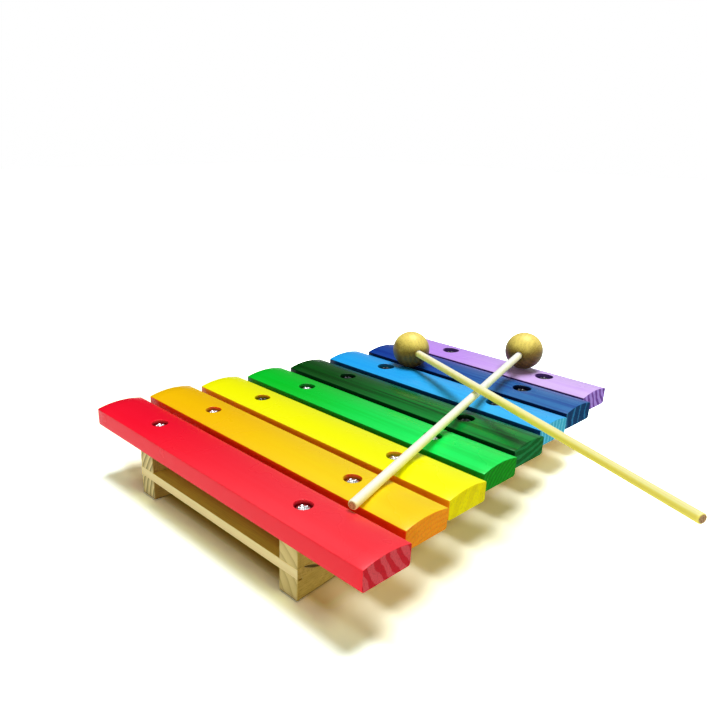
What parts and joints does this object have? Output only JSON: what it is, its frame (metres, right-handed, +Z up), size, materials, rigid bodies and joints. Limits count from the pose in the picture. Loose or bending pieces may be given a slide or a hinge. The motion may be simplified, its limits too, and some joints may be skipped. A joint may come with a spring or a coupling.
{
  "type": "xylophone",
  "caption": "Toy xylophone of rainbow-painted wooden bars, longest to shortest, screwed to a tapering pine stand, with ball-headed wooden mallets lying across the bars.",
  "frame": {"origin": "the middle of the box round the whole part, at its base, which is where the two rails stand on the table", "axes": "+X along the row of bars, from the longest, lowest one to the shortest, highest one; +Y along the bars, away from the player; +Z up"},
  "size_m": [0.2542, 0.2826, 0.065],
  "materials": {
    "pine": "planed pine, unpainted",
    "lath": "thin sawn softwood, unpainted",
    "red_paint": "softwood under glossy red paint, the grain just showing at the sawn ends",
    "orange_paint": "softwood under glossy orange paint, the grain just showing at the sawn ends",
    "yellow_paint": "softwood under glossy yellow paint, the grain just showing at the sawn ends",
    "green_paint": "softwood under glossy green paint, the grain just showing at the sawn ends",
    "dark_green_paint": "softwood under glossy dark green paint, the grain just showing at the sawn ends",
    "light_blue_paint": "softwood under glossy light blue paint, the grain just showing at the sawn ends",
    "dark_blue_paint": "softwood under glossy dark blue paint, the grain just showing at the sawn ends",
    "violet_paint": "softwood under glossy violet paint, the grain just showing at the sawn ends",
    "screw_steel": "bright plated steel",
    "varnished_wood": "turned hardwood under clear varnish",
    "birch": "smooth birch dowel, unpainted"
  },
  "bodies": {
    "stand": {"front_rail": "pine", "back_rail": "pine", "left_cross_board": "lath", "right_cross_board": "lath", "bar_1_red": "red_paint", "bar_2_orange": "orange_paint", "bar_3_yellow": "yellow_paint", "bar_4_green": "green_paint", "bar_5_dark_green": "dark_green_paint", "bar_6_light_blue": "light_blue_paint", "bar_7_dark_blue": "dark_blue_paint", "bar_8_violet": "violet_paint", "screw_front_1": "screw_steel", "screw_front_2": "screw_steel", "screw_front_3": "screw_steel", "screw_front_4": "screw_steel", "screw_front_5": "screw_steel", "screw_front_6": "screw_steel", "screw_front_7": "screw_steel", "screw_front_8": "screw_steel", "screw_back_1": "screw_steel", "screw_back_2": "screw_steel", "screw_back_3": "screw_steel", "screw_back_4": "screw_steel", "screw_back_5": "screw_steel", "screw_back_6": "screw_steel", "screw_back_7": "screw_steel", "screw_back_8": "screw_steel"},
    "lower_mallet": {"lower_mallet_head": "varnished_wood", "lower_mallet_stick": "birch"},
    "upper_mallet": {"upper_mallet_head": "varnished_wood", "upper_mallet_stick": "birch"}
  },
  "joints": [
    {"name": "lower_mallet_lift", "type": "slide", "parent": "stand", "child": "lower_mallet", "axis": [0, 0, 1], "range_m": [0, 0.1]},
    {"name": "upper_mallet_lift", "type": "slide", "parent": "lower_mallet", "child": "upper_mallet", "axis": [0, 0, 1], "range_m": [0, 0.1]}
  ]
}
